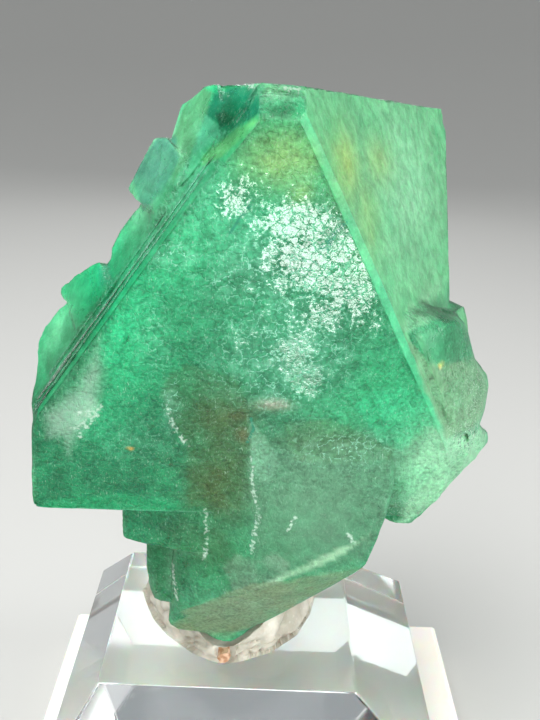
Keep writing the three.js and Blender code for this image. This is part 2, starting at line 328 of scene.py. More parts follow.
# The band of shallow steps beside the big face: its middle line (x, z), its half-width in mm, and
# the y in front of which its corners lie.
stepBand = {"line": [(-6.4, 95), (-25, 67.1)], "halfWidth": 2.4, "frontOf": -14}

# Colour zones in the stone, from the lowest layer up: the colour, then soft ellipsoids, each with
# its middle and radii in mm and its strength.
stoneZones = {
    "deepGreen": ("#0b7047", [
        ((-12, -12, 41), (3, 6, 7), 0.9),
        ((-12, -14, 49), (8, 6, 3), 0.9),
        ((-8, -18, 58), (10, 6, 10), 0.8),
        ((2, -20, 74), (9, 6, 7), 0.2),
        ((-25, -18, 65), (4, 6, 8), 0.5),
        ((-17, -19, 59), (10, 6, 10), 0.9),
        ((-4, -18, 54), (6, 5, 3), 0.4),
    ]),
    "vividGreen": ("#12c583", [
        ((-14, -23, 82), (3, 4, 4), 0.9),
        ((-15.5, -22, 77), (2.4, 4, 5), 0.7),
        ((-9, -20, 96), (3, 8, 4), 0.5),
    ]),
    "mintGlow": ("#54d39c", [
        ((-8.4, -24, 92), (4.5, 6, 5), 0.85),
        ((-3, -25, 88), (5, 5, 5), 0.5),
        ((-13, -22, 89), (4, 6, 4), 0.6),
        ((-11, -20, 94), (3, 8, 4), 0.7),
        ((2, -22, 75), (8, 6, 9), 0.35),
    ]),
    "brightGreen": ("#27c584", [
        ((14.5, -17, 65.5), (5.5, 5, 3.2), 0.4),
        ((-15, -22, 74), (4, 4, 8), 0.7),
        ((-9, -24, 84), (3, 4, 5), 0.7),
        ((-18, -19, 66), (4, 4, 6), 0.5),
        ((19.5, -14, 57), (1.6, 4, 1.4), 0.9),
        ((-6, -12, 40), (2, 6, 5), 0.5),
    ]),
    "paleMint": ("#a2e6b8", [
        ((17, -5, 89), (8, 18, 9), 0.5),
        ((20, -14, 59), (4.5, 6, 7), 0.8),
        ((-12, -18, 92), (5, 5, 7), 0.7),
        ((-24, -18, 74), (4, 5, 5), 0.4),
        ((-0.5, -25, 101), (3, 3, 0.8), 0.7),
    ]),
    "greyGreen": ("#79a98a", [
        ((6, -17, 55), (9, 4, 8), 0.7),
        ((3, -12, 37), (10, 6, 3.6), 0.9),
        ((25, -13, 64), (4, 6, 4), 0.6),
    ]),
    "olive": ("#9fc774", [
        ((6.6, -20, 93.5), (2.6, 5, 3.4), 0.9),
        ((11.5, -10, 93), (3, 6, 2.4), 0.5),
        ((9.5, -18, 88), (2, 5, 4), 0.5),
        ((0.4, -25.5, 94.5), (3.6, 4, 2.8), 0.8),
        ((2.4, -25, 91.6), (1.6, 4, 1.4), 0.6),
    ]),
    "oliveBrown": ("#43582a", [
        ((-4.6, -18, 65), (3.4, 5, 4), 0.75),
        ((-5, -17, 56), (3.6, 6, 7), 0.8),
        ((-6, -13, 46), (5, 6, 6), 0.45),
        ((-1, -17, 60.6), (2, 4, 3), 0.4),
        ((7, -17, 61.8), (6, 3, 1.5), 0.45),
        ((5, -12, 40), (7, 6, 1.4), 0.5),
    ]),
    "rust": ("#6d4a2c", [
        ((-2.5, -18, 62.8), (0.8, 3, 1.1), 0.8),
        ((-2.8, -18, 65.4), (1.4, 3, 0.8), 0.4),
    ]),
    "pinkGrey": ("#b5ab98", [
        ((0.6, -18.8, 66.8), (1.8, 3, 0.7), 0.7),
    ]),
}

# Patches with a crisp edge, where a facet, a break or a colour zone of the growth ends, and a few of
# painted light and shade: the window's shade, the veil's glint, the light on the ridge and the
# underside's edge highlight. Each has its colour, its strength, and the outline seen from the front,
# as (x, z) in mm.
crispPatches = {
    "mintStrip": ("#6bdcae", 0.75, [
        (-8.4, 98.2), (-7.2, 98.6), (-5.1, 96.9), (-6.8, 95.4), (-8.4, 94.4), (-9, 96),
    ]),
    "window": ("#0c8a63", 0.95, [
        (-6.5, 100.3), (-4.2, 101.4), (-1.4, 101.4), (-1.6, 99), (-5.1, 96.9), (-7.4, 98.3),
    ]),
    "windowShade": ("#04392c", 0.8, [
        (-6.4, 98.5), (-5.5, 98.9), (-4.2, 98.5), (-4.9, 97.6), (-6, 97.6),
    ]),
    "frostedStrip": ("#5fae78", 0.8, [
        (-9, 101), (-6.6, 100.4), (-7.9, 95.5), (-10.2, 91.4), (-11, 95),
    ]),
    "yellowBand": ("#6fd47f", 0.9, [
        (-1.5, 98.9), (-1.9, 98.2), (-3, 97), (-5.8, 94.4), (-7.7, 93.3), (-7, 95), (-5.1, 96.7),
    ]),
    "cap": ("#177547", 0.9, [(-1.9, 98.3), (-0.8, 99.8), (1, 100), (1.7, 99)]),
    "darkGrowth": ("#44642f", 0.32, [
        (-10.7, 70.6), (-8.4, 72), (-3.5, 70.4), (-1.8, 66.1), (-2.1, 61.4), (-2.2, 56.7),
        (-2.7, 52.4), (-8.8, 52.4), (-8.9, 62), (-10.6, 64.4), (-11.6, 68.1),
    ]),
    "emeraldCorner": ("#2cc488", 0.4, [
        (9.4, 67.4), (14.6, 69.3), (20.5, 67.4), (20.8, 63.3), (18.1, 63.9), (16, 60.6),
        (13.1, 61.7),
    ]),
    "darkGrain": ("#48794a", 0.5, [
        (2, 64.3), (7.1, 65), (14.6, 61.1), (15.1, 59.6), (7.6, 59), (3.1, 59.6),
    ]),
    "frostedFoot": ("#4c8361", 0.65, [
        (-1.8, 65), (2.2, 59.2), (14.7, 59.5), (14.4, 51.4), (11.8, 45.4), (4.9, 43.2), (-1, 45.9),
    ]),
    "crumblyBorder": ("#7aab80", 0.75, [
        (14.6, 75.4), (19.2, 71.3), (26, 70), (27.5, 66.2), (26.4, 62.9), (21, 62.1), (18.2, 67.6),
    ]),
    "greenLump": ("#46a070", 0.7, [
        (15, 77.2), (22.5, 76), (24, 73.8), (23.3, 70.5), (17.8, 71.7), (15.7, 74.4),
    ]),
    "paleEdge": ("#8fd0a4", 0.85, [
        (21.3, 62), (28, 62), (26, 56), (20.2, 50), (16.6, 48), (17.3, 53), (20, 57),
    ]),
    "clearWedge": ("#74b08d", 0.7, [
        (-1.8, 65.6), (-0.6, 63), (2.1, 59.2), (0.2, 56.6), (-1.6, 58),
    ]),
    # the veil's glint: painted highlight
    "veilGlint": ("#e2f6e6", 0.15, [
        (-18, 66.5), (-18.9, 67.8), (-20.3, 66.3), (-21.3, 64.4), (-20.4, 63.9),
    ]),
    # painted light over the shaded ridge above the block
    "paintedLightRidge": ("#8fd0a0", 0.5, [
        (14, 76.4), (14.8, 78), (17.1, 78), (22, 77.6), (22, 76), (17.7, 76.2), (15.2, 75.8),
    ]),
    # a pale line along the underside's upper edge: painted highlight
    "undersideEdgeHighlight": ("#a4d3ab", 0.7, [
        (-1.5, 40.4), (3.8, 44), (9.4, 47), (13.4, 50.4), (9, 47.9), (3.4, 44.8), (-1.8, 41.2),
    ]),
    "greyBreak": ("#8ca58f", 0.3, [
        (-4.6, 44), (-3, 46.4), (0, 45.8), (1.4, 47.2), (3.6, 46), (2.6, 42.4), (-3, 40),
    ]),
    "stainedUnderside": ("#7c9874", 0.7, [
        (-10, 35.3), (-1.2, 42.4), (5.5, 44), (12.4, 45.4), (5.2, 37), (-1, 31), (-6.5, 29),
    ]),
    "lowerPillar": ("#157a48", 0.8, [(-15, 45), (-10.1, 46.3), (-10, 37.3), (-13.5, 34)]),
    "squareFacet": ("#1d9a72", 0.8, [(-18.6, 81.6), (-17.3, 82.3), (-16.5, 80.6), (-18.1, 79.7)]),
    "brokenBlock": ("#3f9580", 0.7, [
        (-15.5, 91.3), (-12, 96), (-10.2, 95.5), (-9.8, 93.7), (-11.5, 90.2), (-13.6, 88),
    ]),
    "bottomBand": ("#18a86b", 0.4, [
        (-25.1, 53.8), (-16, 54.6), (-9.7, 53.5), (-9.7, 51.8), (-26, 51.8),
    ]),
}

# How much of a colour each kind of face takes on.
faceTints = {
    "right": ("#82d397", 0.6),
    "left": ("#19cb85", 0.8),
    "bevel": ("#56cf94", 0.7),
    "under": ("#8b9a72", 0.75),
}

# Where the etched front face is smooth enough to flash: ellipsoids as above.
glazePatches = [
    ((5.2, -22, 84.4), (5.8, 7, 5.8), 1.35),
    ((8.6, -22, 81.5), (3.8, 6, 4), 1.2),
    ((2.2, -24, 88.6), (5, 5, 2.4), 1.1),
    ((-3.2, -25, 90.6), (3, 4, 2.6), 0.95),
    ((5.4, -21, 78.4), (3.4, 4, 2.8), 0.9),
    ((2.6, -20, 73.4), (2.6, 4, 2.8), 1.2),
    ((4.2, -19, 70), (2.1, 4, 2.2), 1.3),
    ((-2, -21, 75), (2.6, 4, 2), 0.7),
    ((10, -21, 77.6), (3, 4, 3), 0.6),
    ((3, -21, 77), (8, 6, 8), 0.45),
    ((1.2, -18.8, 67), (1.6, 3, 1), 1.0),
]

# Glassy spots: middle, radii, strength.
glassySpots = [
    ((-5.2, -23, 98.3), (3, 5, 3), 1.0),
    ((-13.5, -17, 91), (4, 6, 5), 0.8),
    ((-21, -17, 79), (3.5, 6, 3), 0.8),
    ((21, -14, 73), (5, 6, 4), 0.8),
    ((-12, -11, 42), (3, 6, 7), 0.9),
]

# Where fine pale scratches crowd, where the face is quiet and soft, and where the border is crumbly
# with dark grains.
scratchedPatches = [
    ((-10, -24, 84.6), (3.4, 4, 1.6), 1.0),
    ((-4.6, -23, 82), (2.4, 4, 1), 0.9),
    ((9, -17, 61), (6, 4, 2.2), 0.9),
    ((-12, -22, 75), (2.4, 4, 6), 0.5),
    ((-14, -20, 62), (8, 5, 4), 0.35),
    ((1, -22, 84), (9, 7, 9), 0.8),
    ((2, -21, 73), (8, 6, 8), 0.9),
    ((-8, -24, 92), (4, 5, 4), 0.4),
    ((-10.4, -20, 67), (1, 3, 4), 0.9),
]
softPatches = [
    ((6, -15, 50), (8, 8, 8), 1.0),
    ((-3, -13, 46), (6, 6, 5), 0.5),
]
crustPatches = [
    ((23.6, -12, 61.6), (3.6, 6, 2.6), 1.0),
    ((25, -10, 66.5), (2.6, 6, 4.5), 0.8),
    ((17.5, -14, 52), (2.5, 5, 2), 0.5),
]

# Fractures and glints: lines seen from the front, as (x, z) in mm; the veil's glint and the glints on
# the top ridge among the white lines are painted highlights. The veil is an outline.
whiteCracksAndGlints = [
    [(-1.6, 59.4), (-1.2, 55.5), (-0.5, 52.8), (-0.8, 49.8), (-1.2, 46.9)],
    [(10.1, 50.3), (11.1, 49)],
    [(3.9, 52.3), (3.1, 50.6)],
    [(-6.8, 52.2), (-6.5, 47.6), (-6.9, 44.4)],
    [(-11.1, 42.5), (-10.5, 37)],
    [(-10.9, 66.7), (-10.3, 64), (-8.8, 61.3)],
    # the veil's glint in three streaks: painted highlight
    [(-18, 66.5), (-20.5, 65.6)],
    [(-18.1, 66.3), (-21.2, 63.6)],
    [(-18.2, 66), (-20.6, 62.6)],
    # glints on the top ridge: painted highlights
    [(0.3, 101.2), (2.2, 101)],
    [(-3.6, 101.4), (-2, 101.4)],
]
tealCracks = [
    [(-1.7, 65), (-1.3, 63.6), (-2.1, 61.4)],
    [(-4.3, 87), (-2.2, 90.3)],
    [(4.7, 85.5), (7.2, 88.5)],
    [(5.4, 85.3), (5.9, 86.3)],
]
whiteVeil = [
    (-17.7, 75.5), (-17.2, 71.1), (-18.1, 66.4), (-20.7, 62.3), (-22.1, 59.2), (-22.7, 62.1),
    (-24.4, 62.1), (-24.6, 65.6), (-20.6, 69.5),
]

# Single flecks: the colour, the place (x, z) and the radius in mm.
flecks = [
    ("#e0a038", (-15.1, 60.9), 0.05),
    ("#e6e07c", (19.3, 71.3), 0.1),
]

# Sizes and depths in mm. Each depth goes inwards and is followed by its pattern's size.
fluorite = {
    "frontEdgeMm": 0.75,  # longest mesh edge on what faces the front
    "backEdgeMm": 3.0,
    "healRounds": (1, 5, 22),  # smoothing for a slight, a middle and a full healing
    "waviness": 0.08,
    "waveMm": 7,
    "frontTerrace": 0.08,
    "terraceMm": 9,
    "frontGrain": 0.05,
    "frontGrainMm": 1.1,
    "glazePlates": 0.05,
    "plateMm": 1.7,
    "rightFibres": 0.08,
    "fibreMm": 2.4,
    "fibreStretch": 0.85,
    "crumble": 0.5,
    "crumbleMm": 2.2,
    "edgeWear": 0.12,
    "wearMm": 1.2,
    "edgeChips": 0.8,
    "chipMm": 4.2,
    "crackDepth": 0.12,
    "cloudMm": 7,  # patterns in the colour, and how far borders are ragged
    "raggedMm": 1.8,
    "frayMm": 1.3,
    "frayed": 0.35,
    "streakMm": 1.3,
    "streakLength": 3.5,
    "darkCloud": "#0d7a4e",
    "paleCloud": "#1da36a",
    # darker green for the groove's streaks: painted shade
    "groove": "#1a6e45",
    # a pale colour painted along the edges: painted highlight
    "edgeHighlight": "#a2e6b8",
    "white": "#d6f2e0",
    "tealCrack": "#1f8f72",
    "crackle": "#a9ecd2",
    "grains": "#27403c",
    "dustShare": 0.08,
    "scratchShare": 0.3,
    "crackAndGlintShare": 0.7,
    "tealShare": 0.8,
    "veilShare": 0.35,
    "wispMm": 1.5,  # sizes of the fine patterns in the skin
    "grainMm": 0.4,
    "dustMm": 0.18,
    "strokeMm": (0.15, 0.6),  # a scratch's width and length
    "strokeLean": 0.5,
    "crackleMm": 1.2,  # real nets are finer, and this is the finest that shows
    "warpMm": 0.9,
    "warpByMm": 1.3,
    "reliefMm": 0.3,
    "flashReliefMm": 0.2,
    "roughness": (0.38, 0.55),
    "glassyRoughness": 0.06,
    "transmission": 0.3,  # where it is frosted
    "glassyTransmission": 0.45,
    "rearTransmission": 0.8,
    "ior": 1.434,
    "specular": 0.3,
    "glow": 0.35,
    "glowMm": 1.2,  # how far light spreads under the frosted skin
    "glowRadius": (0.35, 1.0, 0.6),
    "flashIor": 2.0,
    "flashRoughness": 0.1,
    "absorb": "#35d896",
    "absorbPerMetre": 70.0,
}


def zoneStrength(points, blobs):
    # The largest of height x exp(-r^2), where r is 1 on an ellipsoid's surface.
    strength = np.zeros(len(points))
    for middle, radii, height in blobs:
        away = np.linalg.norm((points - middle) / radii, axis=1)
        strength = np.maximum(strength, height * np.exp(-away * away))
    return strength


def nearestLine(points, lines):  # the smallest of the distances to several lines
    return np.min([lineDistance(points, line) for line in lines], axis=0)


def insideDepth(points, outline):
    # Distance in mm to an outline's edge, seen from the front, positive inside. A point is inside
    # when a line from it to the right crosses the outline an odd number of times.
    flat = points[:, [0, 2]]
    corners = np.array(outline, float)
    crossings = np.zeros(len(flat), int)
    for start, end in zip(corners, np.roll(corners, -1, axis=0)):
        spans = (start[1] > flat[:, 1]) != (end[1] > flat[:, 1])
        reach = start[0] + (flat[:, 1] - start[1]) * (end[0] - start[0]) / (end[1] - start[1] + 1e-9)
        crossings += spans & (flat[:, 0] < reach)
    distance = lineDistance(points, [*outline, outline[0]])
    return np.where(crossings % 2 == 1, distance, -distance)


def stoneTint(points, normals, share, nearEdge):
    # Each corner's colour: clouded green, then each zone laid over it with ragged borders, as
    # (1 - strength) x what is below + strength x the zone's colour.
    cloud = step(layered(points, fluorite["cloudMm"], 101, 4), -0.35, 0.35)[:, None]
    dark, pale = linearColour(fluorite["darkCloud"]), linearColour(fluorite["paleCloud"])
    tint = (1 - cloud) * dark + cloud * pale
    ragged = 1 + 0.45 * layered(points, fluorite["raggedMm"], 111)

    def lay(tint, hexCode, strength):
        weight = np.clip(strength * ragged, 0, 1)[:, None]
        return (1 - weight) * tint + weight * np.array(linearColour(hexCode))

    for face, (hexCode, strength) in faceTints.items():
        tint = lay(tint, hexCode, strength * share[face])
    for hexCode, blobs in stoneZones.values():
        tint = lay(tint, hexCode, zoneStrength(points, blobs))
    facing = step(-normals[:, 1], -0.1, 0.2)
    frayed = fluorite["frayed"] * layered(points, fluorite["frayMm"], 131)
    for hexCode, strength, outline in crispPatches.values():
        inside = step(insideDepth(points, outline) + frayed, -0.15, 0.25)
        tint = lay(tint, hexCode, strength * facing * inside)
    # the striated groove beside the big face: darker streaks along its line, painted shade of its
    # smoothed steps
    grooveLine = healedLines[0][0]
    start, end = np.array(grooveLine[:2])
    along = (end - start) / np.linalg.norm(end - start)
    flat = points[:, [0, 2]] - start
    onward = flat @ along / fluorite["streakLength"]
    streakPlace = np.column_stack([onward, flat @ [along[1], -along[0]], 0 * onward])
    streaks = 0.5 + 0.3 * layered(streakPlace, fluorite["streakMm"], 121)
    groove = 1 - step(lineDistance(points, grooveLine[:2]), 1.0, 2.8)
    tint = lay(tint, fluorite["groove"], groove * streaks)
    for hexCode, place, radius in flecks:
        spot = 1 - step(lineDistance(points, [place, place]), radius, radius + 0.35)
        tint = lay(tint, hexCode, facing * spot)
    # last, the edges painted paler: a painted highlight along them
    return lay(tint, fluorite["edgeHighlight"], 0.22 * nearEdge)


def healedShare(points):  # 1 on the healed lines, 0 away from them
    mask = np.zeros(len(points))
    for line, width in healedLines:
        mask = np.maximum(mask, 1 - step(lineDistance(points, line), 0.5 * width, width))
    return mask * step(-points[:, 1], 8, 12)


def bandSmoothed(points):
    # The shallow growth steps between the big face and the left one become one soft band. A
    # corner's height above the band is moved to h = a + b s + c t + d s t + e t^2 + f t^3, where s
    # runs along the band, t across it, and a to f are the least-squares fit to its corners.
    front, left = np.array(crystalFaces["front"]), np.array(crystalFaces["left"])
    up = (front + left) / np.linalg.norm(front + left)
    along = np.cross(front, left) / np.linalg.norm(np.cross(front, left))
    halfWidth = stepBand["halfWidth"]
    share = 1 - step(lineDistance(points, stepBand["line"]), 0.7 * halfWidth, halfWidth)
    band = (share > 0) & (points[:, 1] < stepBand["frontOf"])
    place = points[band] - points[band].mean(axis=0)
    s, t, h = place @ along, place @ np.cross(along, up), place @ up
    terms = np.column_stack([np.ones(len(s)), s, t, s * t, t**2, t**3])
    move = terms @ np.linalg.lstsq(terms, h, rcond=None)[0] - h
    move *= share[band] * (1 - step(np.abs(move), 0.7, 1.1))
    points[band] += move[:, None] * up
    return points


def healed(points, edges, mask):
    # Softens those steps, the lumps at the sides, and a little of everything: each corner lies
    # between a slightly and a much smoothed copy, by how much of it is healed.
    points = bandSmoothed(points)
    lumps = zoneStrength(points, softLumps)
    lumps = np.clip(lumps, 0, 1) * (1 - step(lineDistance(points, healedLines[0][0]), 6, 3))
    slightRounds, someRounds, muchRounds = fluorite["healRounds"]
    slight = smoothed(points, edges, slightRounds)
    some = smoothed(slight, edges, someRounds)
    much = smoothed(some, edges, muchRounds)
    slight += lumps[:, None] * (some - slight)
    return slight + mask[:, None] * (much - slight)


def crystalSurface(shape):
    # The solid, refined and healed, then moved inwards along its normals by the sum of the depths of
    # its waves, terraces, fibres, crumbling, wear, chips and cracks.
    points, faces = mergedArrays("fluorite_octahedron")

    def longest(middles):
        front = step(-middles[:, 1], 6, 14)
        return shape["backEdgeMm"] + (shape["frontEdgeMm"] - shape["backEdgeMm"]) * front

    points, faces = refined(points, faces, longest)
    edges, _ = edgeList(faces)
    count = len(points)
    raw = faceNormals(points, faces)
    area = np.linalg.norm(raw, axis=1)
    unit = raw / np.maximum(area, 1e-12)[:, None]
    around = np.maximum(gathered(faces, area, count), 1e-12)
    crease = 1 - np.linalg.norm(gathered(faces, raw, count), axis=1) / around
    share = {}
    for name, way in crystalFaces.items():  # how much of the area around a corner faces each way
        alike = unit @ (np.array(way) / np.linalg.norm(way)) > 0.995
        share[name] = gathered(faces, area * alike, count) / around
    nearEdge = np.clip(smoothed(step(crease, 0.01, 0.08), edges, 1) * 1.3, 0, 1)
    border = np.clip(smoothed(nearEdge, edges, 9) * 3, 0, 1)
    healing = healedShare(points)
    nearEdge *= 1 - healing
    points = healed(points, edges, healing)
    normals = vertexNormals(points, faces)

    # the big face: low growth terraces and a fine grain, with tilted plates where it flashes
    warped = points + 0.9 * np.column_stack([noise(points, 3, 11 + k) for k in range(3)])
    level = 2.6 * layered(warped, shape["terraceMm"], 3)
    terrace = np.floor(level) + step(level - np.floor(level), 0.8, 1.0)
    offset, home, gap = cells(warped, shape["plateMm"], 7)
    tilt = np.column_stack([hashed(home, 21 + k) for k in range(3)]) - 0.5
    plate = 0.5 + 0.5 * (tilt * offset).sum(axis=1)
    fissure = 1 - step(gap, 0.0, 0.3)
    glaze = share["front"] * zoneStrength(points, glazePatches) * (1 + 0.3 * layered(points, 2.4, 13))
    grain = 0.5 + 0.5 * layered(points, shape["frontGrainMm"], 17, 2)
    front = shape["frontTerrace"] * (1.5 - terrace / 2) + shape["frontGrain"] * grain
    front *= share["front"]
    front += step(glaze, 0.3, 0.6) * shape["glazePlates"] * (0.6 * plate + 0.7 * fissure)

    # the right face: fibres that run down it
    down = np.cross(crystalFaces["right"], [0.3, 0.9, 0.2])
    down /= np.linalg.norm(down)
    fibrePlace = points - shape["fibreStretch"] * (points @ down)[:, None] * down
    fibres = 0.5 + 0.5 * layered(fibrePlace, shape["fibreMm"], 31)
    right = fibres + 0.6 * (0.5 + 0.5 * noise(points, 4, 35))
    right *= share["right"] * shape["rightFibres"]

    # the crumbly border on the right, worn edges, and chips here and there along them
    crumble = zoneStrength(points, crumblyPlaces) * shape["crumble"]
    crumble *= 0.5 + 0.5 * layered(points, shape["crumbleMm"], 41)
    wave = shape["waviness"] * (1 + layered(points, shape["waveMm"], 51))
    wear = nearEdge * shape["edgeWear"] * (1 + layered(points, shape["wearMm"], 61))
    outer = 0.3 + 0.7 * np.maximum(step(points[:, 0], 8, 16), 0.3 * step(-points[:, 0], 22, 25))
    chips = step(layered(points, shape["chipMm"], 65, 4), -0.1, 0.6)
    chips *= border * outer * shape["edgeChips"]
    cracked = shape["crackDepth"] * (1 - step(nearestLine(points, tealCracks), 0.1, 0.45))
    thin = np.clip(zoneStrength(points, thinPlaces), 0, 1)
    depth = (wave + front + right + crumble + wear + chips + cracked) * (1 - 0.8 * thin)
    shaped = points - normals * depth[:, None]

    quiet = share["right"] + share["bevel"] + share["left"] + zoneStrength(points, softPatches)
    extras = {
        "glaze": glaze,
        "glassy": zoneStrength(points, glassySpots),
        "rear": step(normals @ np.array([0, 0.8, 0.6]), 0.1, 0.5),
        "crackAndGlintLines": nearestLine(points, whiteCracksAndGlints),
        "teal": nearestLine(points, tealCracks),
        "veil": insideDepth(points, whiteVeil),
        "scratched": zoneStrength(points, scratchedPatches),
        "crust": zoneStrength(points, crustPatches),
        "soft": np.clip(quiet, 0, 1),
    }
    return shaped, faces, extras, stoneTint(points, normals, share, nearEdge)


def etchedFluorite(looks):
    # Natural fluorite, grown and etched: see-through green in the depth, frosted where the surface
    # is etched, flashing where the etch left smooth plates, with glassy spots and white fractures.
    material, tree, place = newMaterial("etched_green_fluorite")
    textures = []
    for name, detail, twist in [("wispMm", 4.0, 0.5), ("grainMm", 3.0, 0.0), ("dustMm", 1.0, 0.0)]:
        values = {"Vector": place, "Scale": 1 / looks[name], "Detail": detail, "Distortion": twist}
        textures.append(addNode(tree, "TexNoise", {}, values, "Fac"))
    wisp, grain, dust = textures
    across, along = looks["strokeMm"]
    lean = {"Rotation": (0.0, looks["strokeLean"], 0.0), "Scale": (1 / across, 1 / across, 1 / along)}
    slanted = addNode(tree, "Mapping", {}, {"Vector": place, **lean})
    strokes = addNode(tree, "TexNoise", {}, {"Vector": slanted, "Scale": 1.0, "Detail": 1.0}, "Fac")
    warp = {"Vector": place, "Scale": 1 / looks["warpMm"], "Detail": 2.0}
    warp = addNode(tree, "TexNoise", {}, warp, "Color")
    warped = addNode(tree, "VectorMath", timesPlus, [warp, [looks["warpByMm"]] * 3, place])
    net = {"Vector": warped, "Scale": 1 / looks["crackleMm"]}
    crackle = addNode(tree, "TexVoronoi", {"feature": "DISTANCE_TO_EDGE"}, net, "Distance")
    names = ["glaze", "glassy", "rear", "crackAndGlintLines", "teal", "veil", "scratched", "crust", "soft"]
    zone = {name: addNode(tree, "Attribute", {"attribute_name": name}, {}, "Fac") for name in names}
    tint = addNode(tree, "Attribute", {"attribute_name": "tint"}, {}, "Color")

    # smooth masks, each a texture or a zone, from low and high, to low and high
    masks = {
        "clouds": [wisp, 0.3, 0.7, 0.84, 1.16],
        "contrast": [zone["soft"], 0.0, 1.0, 1.5, 0.5],
        "dusted": [dust, 0.58, 0.75, 0.0, looks["dustShare"]],
        "scratches": [strokes, 0.62, 0.75, 0.0, looks["scratchShare"]],
        "scratchCrowds": [wisp, 0.42, 0.6],
        "scratchCalm": [zone["soft"], 0.0, 1.0, 1.0, 0.3],
        "nets": [crackle, 0.0, 0.07, 1.0, 0.0],
        "netGaps": [grain, 0.42, 0.56],
        "netHaze": [wisp, 0.4, 0.7, 0.05, 0.3],
        "netCrowds": [zone["scratched"], 0.0, 1.0, 0.08, 0.9],
        "netCalm": [zone["soft"], 0.0, 1.0, 1.0, 0.2],
        "darkGrains": [grain, 0.56, 0.64, 0.0, 0.8],
        "paleGrains": [dust, 0.55, 0.68, 0.0, 0.7],
        "teal": [zone["teal"], 0.08, 0.25, looks["tealShare"], 0.0],
        "rough": [wisp, 0.3, 0.7, *looks["roughness"]],
        "through": [zone["glassy"], 0.1, 0.9, looks["transmission"], looks["glassyTransmission"]],
        "seams": [crackle, 0.02, 0.09],
        "sunk": [crackle, 0.0, 0.12, -0.25, 0.0],
        "relief": [zone["glassy"], 0.2, 0.8, 1.0, 0.15],
        "reliefCalm": [zone["soft"], 0.0, 1.0, 0.9, 0.3],
    }
    mask = {name: addNode(tree, "MapRange", smooth, values) for name, values in masks.items()}

    # light and dark clouding
    middleGrain = addNode(tree, "Math", minus, [grain, 0.5])
    shade = addNode(tree, "Math", timesPlus, [middleGrain, mask["contrast"], mask["clouds"]])
    colour = addNode(tree, "VectorMath", scaled, {0: tint, "Scale": shade})

    # short slanting scratches, and pale cracks in broken nets, closer where the face is scratched
    scratches = addNode(tree, "Math", times, [mask["scratches"], mask["scratchCrowds"]])
    scratches = addNode(tree, "Math", times, [scratches, mask["scratchCalm"]])
    nets = addNode(tree, "Math", times, [mask["nets"], mask["netGaps"]])
    nets = addNode(tree, "Math", larger, [nets, mask["netHaze"]])
    crowds = addNode(tree, "Math", times, [mask["netCrowds"], mask["netCalm"]])
    nets = addNode(tree, "Math", times, [nets, crowds])

    # dark and white grains in the crumbly border, then white cracks with painted glints among them,
    # and a veil with frayed borders
    darkGrains = addNode(tree, "Math", times, [mask["darkGrains"], zone["crust"]])
    paleGrains = addNode(tree, "Math", times, [mask["paleGrains"], zone["crust"]])
    frayed = addNode(tree, "Math", timesPlus, [grain, 1.6, -0.8])
    crackAndGlint = addNode(tree, "Math", plus, [zone["crackAndGlintLines"], frayed])
    crackAndGlint = addNode(tree, "MapRange", smooth, [crackAndGlint, -0.1, 0.3, looks["crackAndGlintShare"], 0.0])
    veil = addNode(tree, "Math", plus, [zone["veil"], frayed])
    veil = addNode(tree, "MapRange", smooth, [veil, -0.5, 1.8, 0.0, looks["veilShare"]])

    layers = [
        (mask["dusted"], "white"),
        (scratches, "white"),
        (nets, "crackle"),
        (darkGrains, "grains"),
        (paleGrains, "white"),
        (crackAndGlint, "white"),
        (mask["teal"], "tealCrack"),
        (veil, "white"),
    ]
    for share, name in layers:
        laid = {0: share, 6: colour, 7: linearColour(looks[name])}
        colour = addNode(tree, "Mix", colours, laid, 2)

    glassy = {0: zone["glassy"], 2: mask["rough"], 3: looks["glassyRoughness"]}
    rough = addNode(tree, "Mix", {}, glassy)
    rear = {0: zone["rear"], 2: mask["through"], 3: looks["rearTransmission"]}
    through = addNode(tree, "Mix", {}, rear)

    # smooth plates crowd together in the middle of the flashing patches and thin out around them
    plates = addNode(tree, "Math", timesPlus, [grain, 1.8, -1.7])
    plates = addNode(tree, "Math", timesPlus, [wisp, 1.6, plates])
    flash = addNode(tree, "Math", plus, [zone["glaze"], plates])
    flash = addNode(tree, "MapRange", smooth, [flash, 0.5, 0.75])
    flash = addNode(tree, "Math", times, [flash, mask["seams"]])

    # relief: wisps, grain, scratches, and the nets a little sunk
    heights = addNode(tree, "Math", timesPlus, [grain, 0.7, wisp])
    heights = addNode(tree, "Math", timesPlus, [strokes, 0.25, heights])
    heights = addNode(tree, "Math", plus, [heights, mask["sunk"]])
    strength = addNode(tree, "Math", times, [mask["relief"], mask["reliefCalm"]])
    relief = {"Strength": strength, "Distance": looks["reliefMm"] * mm, "Height": heights}
    flashRelief = {"Strength": 0.35, "Distance": looks["flashReliefMm"] * mm, "Height": grain}
    skin = {
        "Base Color": colour,
        "Roughness": rough,
        "IOR": looks["ior"],
        "Specular IOR Level": looks["specular"],
        "Transmission Weight": through,
        "Subsurface Weight": looks["glow"],
        "Subsurface Scale": looks["glowMm"] * mm,
        "Subsurface Radius": looks["glowRadius"],
        "Coat Weight": flash,
        "Coat Roughness": looks["flashRoughness"],
        "Coat IOR": looks["flashIor"],
        "Coat Normal": addNode(tree, "Bump", {}, flashRelief),
        "Normal": addNode(tree, "Bump", {}, relief),
    }
    skin = addNode(tree, "BsdfPrincipled", {}, skin)
    depth = {"Color": linearColour(looks["absorb"]), "Density": looks["absorbPerMetre"]}
    depth = addNode(tree, "VolumeAbsorption", {}, depth)
    addNode(tree, "OutputMaterial", {}, {"Surface": skin, "Volume": depth})
    return material


points, faces, extras, tint = crystalSurface(fluorite)
crystal = makePiece("fluorite_crystal", points, faces, etchedFluorite(fluorite), 32, extras)
tintLayer = crystal.data.attributes.new("tint", "FLOAT_COLOR", "POINT")
tintLayer.data.foreach_set("color", tint.astype(np.float32).ravel())
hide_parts("fluorite_octahedron")


